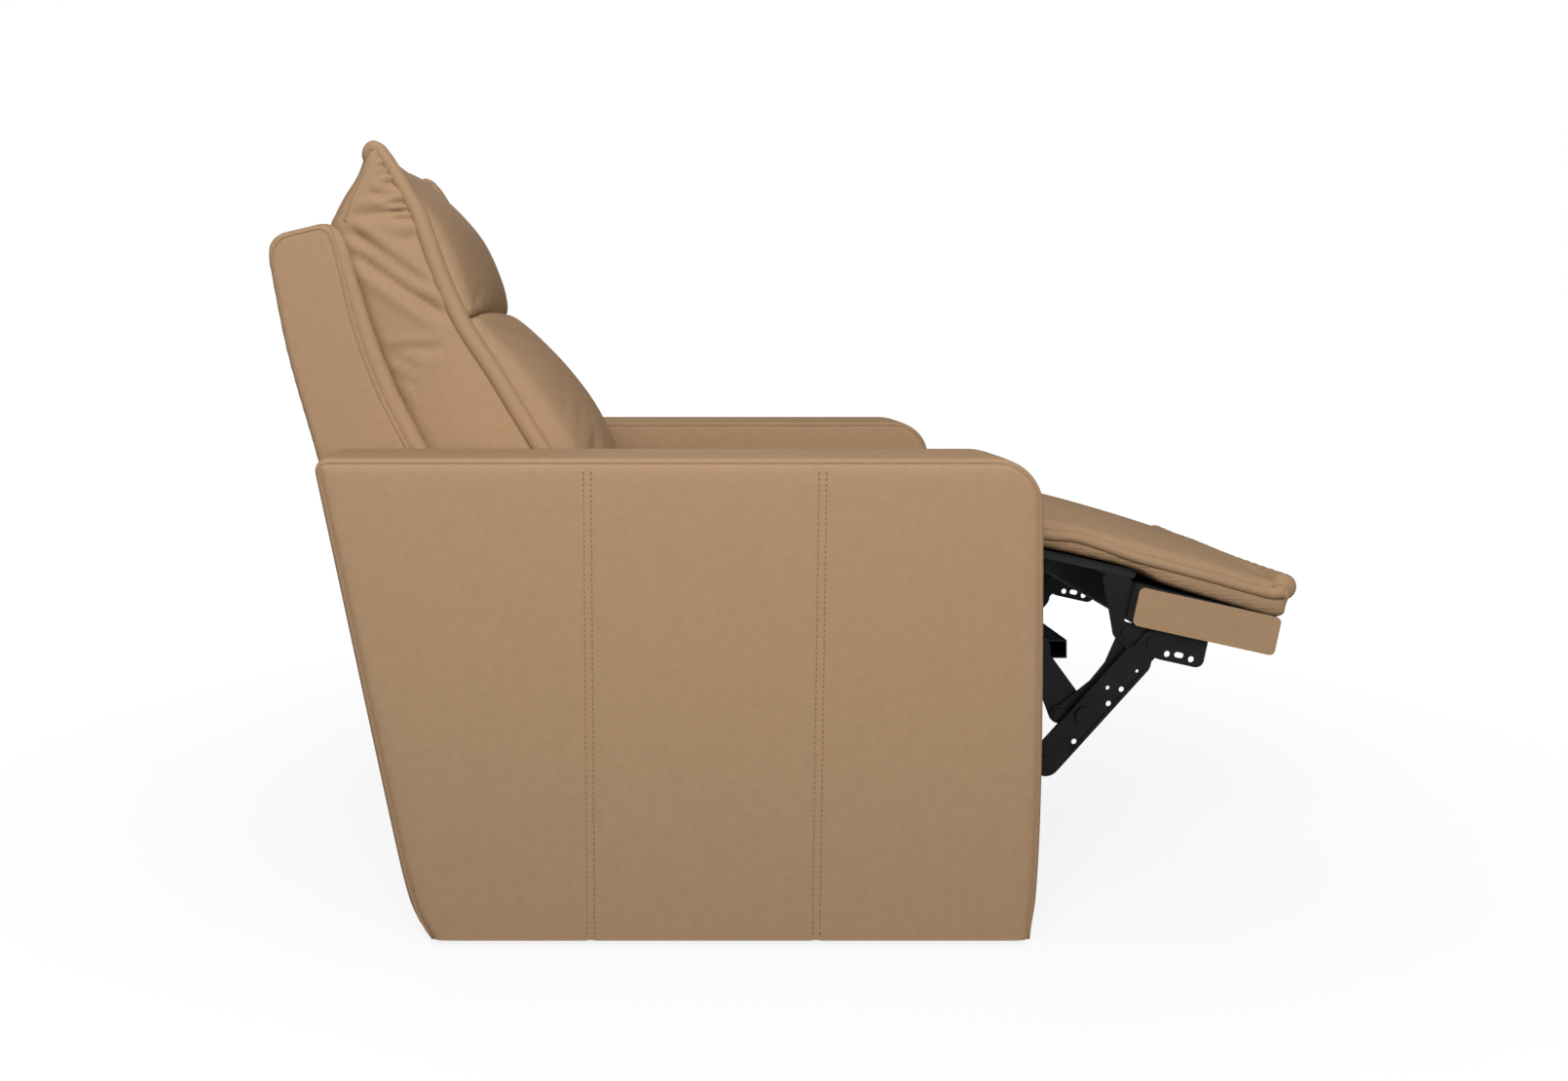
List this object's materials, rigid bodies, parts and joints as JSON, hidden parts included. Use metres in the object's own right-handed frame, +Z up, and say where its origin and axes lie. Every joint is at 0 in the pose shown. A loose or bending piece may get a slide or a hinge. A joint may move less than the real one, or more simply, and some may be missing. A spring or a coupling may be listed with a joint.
{
  "type": "power recliner",
  "caption": "Powered reclining armchair with track arms, layered back pillows, tilting headrest and a scissor-linked footrest.",
  "frame": {"origin": "floor point under the middle of the chair's box, footrest out and back upright", "axes": "+Z up, +X the way the sitter faces, +Y the sitter's left"},
  "size_m": [1.4535, 0.88, 1.058],
  "materials": {
    "leather": "satin",
    "timber": "matte",
    "black_steel": "satin",
    "zinc_steel": "satin",
    "black_plastic": "matte",
    "pale_nylon": "satin",
    "lining": "matte",
    "webbing": "matte"
  },
  "bodies": {
    "base": {"arm_cover_right": "leather", "arm_cover_left": "leather", "arm_frame_right": "timber", "arm_frame_left": "timber", "floor_glides": "black_plastic", "control_bezel": "black_plastic", "switch_module": "black_plastic", "side_plates": "black_steel", "arm_spacers": "zinc_steel", "arm_bolts": "zinc_steel", "cross_tubes": "black_steel", "seat_frame": "timber", "seat_webbing": "webbing", "seat_cushion": "leather", "seat_rivets": "black_steel", "footrest_track": "black_steel", "footrest_motor": "black_plastic", "back_track": "black_steel", "back_motor": "black_plastic", "power_inlet": "black_plastic"},
    "lower_links": {"lower_links": "black_steel", "knee_rivets": "black_steel", "drive_shaft": "black_steel", "drive_crank": "black_steel"},
    "long_links": {"long_links": "black_steel"},
    "footrest": {"footrest_brackets": "black_steel", "footrest_rivets": "black_steel", "footrest_box": "leather", "chaise_board": "lining", "footrest_pad": "leather"},
    "curved_links": {"curved_links": "black_steel", "link_studs": "black_steel", "footrest_crossbar": "black_steel"},
    "narrow_links": {"narrow_links": "black_steel"},
    "footrest_drive": {"footrest_slider": "pale_nylon", "footrest_push_plate": "black_steel"},
    "back": {"back_shell": "leather", "back_frame": "timber", "back_webbing": "webbing", "back_brackets": "black_steel", "back_shaft": "black_steel", "back_crank": "black_steel", "lumbar_cushion": "leather", "back_gusset": "leather", "head_hinges": "black_steel", "head_hinge_pins": "zinc_steel"},
    "back_drive": {"back_slider": "pale_nylon", "back_push_plate": "black_steel"},
    "head": {"head_board": "timber", "head_cushion": "leather"},
    "button_footrest_out": {"button_footrest_out": "black_plastic"},
    "button_footrest_in": {"button_footrest_in": "black_plastic"},
    "button_back_down": {"button_back_down": "black_plastic"},
    "button_back_up": {"button_back_up": "black_plastic"}
  },
  "joints": [
    {"name": "footrest_fold", "type": "hinge", "parent": "base", "child": "lower_links", "pos_m": [0.165, 0, 0.3639], "axis": [0, 1, 0], "range_deg": [0, 84.7]},
    {"name": "knee", "type": "hinge", "parent": "lower_links", "child": "long_links", "pos_m": [0.3723, 0, 0.1805], "axis": [0, 1, 0], "range_deg": [-65.22, 0]},
    {"name": "foot_pivot", "type": "hinge", "parent": "long_links", "child": "footrest", "pos_m": [0.5255, 0, 0.349], "axis": [0, 1, 0], "range_deg": [0, 58.02]},
    {"name": "curved_swing", "type": "hinge", "parent": "base", "child": "curved_links", "pos_m": [0.2185, 0, 0.3977], "axis": [0, 1, 0], "range_deg": [0, 87.57]},
    {"name": "narrow_swing", "type": "hinge", "parent": "footrest", "child": "narrow_links", "pos_m": [0.4904, 0, 0.3619], "axis": [0, 1, 0], "range_deg": [-54.45, 0]},
    {"name": "footrest_drive_slide", "type": "slide", "parent": "base", "child": "footrest_drive", "axis": [1, 0, 0], "range_m": [-0.09644, 0]},
    {"name": "back_recline", "type": "hinge", "parent": "base", "child": "back", "pos_m": [-0.35344, 0, 0.34], "axis": [0, -1, 0], "range_deg": [0, 32]},
    {"name": "back_drive_slide", "type": "slide", "parent": "base", "child": "back_drive", "axis": [1, 0, 0], "range_m": [0, 0.05533]},
    {"name": "head_tilt", "type": "hinge", "parent": "back", "child": "head", "pos_m": [-0.55844, 0, 0.875], "axis": [0, 1, 0], "range_deg": [0, 30]},
    {"name": "press_footrest_out", "type": "slide", "parent": "base", "child": "button_footrest_out", "axis": [0, -1, 0], "range_m": [0, 0.002], "stiffness_N_per_m": 1500},
    {"name": "press_footrest_in", "type": "slide", "parent": "base", "child": "button_footrest_in", "axis": [0, -1, 0], "range_m": [0, 0.002], "stiffness_N_per_m": 1500},
    {"name": "press_back_down", "type": "slide", "parent": "base", "child": "button_back_down", "axis": [0, -1, 0], "range_m": [0, 0.002], "stiffness_N_per_m": 1500},
    {"name": "press_back_up", "type": "slide", "parent": "base", "child": "button_back_up", "axis": [0, -1, 0], "range_m": [0, 0.002], "stiffness_N_per_m": 1500}
  ],
  "couplings": [
    {"joint": "knee", "follows": "footrest_fold", "ratio": -0.76942},
    {"joint": "foot_pivot", "follows": "footrest_fold", "ratio": 0.68442},
    {"joint": "curved_swing", "follows": "footrest_fold", "ratio": 1.0333},
    {"joint": "narrow_swing", "follows": "footrest_fold", "ratio": -0.64227},
    {"joint": "footrest_drive_slide", "follows": "footrest_fold", "m_per_rad": -0.0651},
    {"joint": "back_drive_slide", "follows": "back_recline", "m_per_rad": 0.098705}
  ]
}
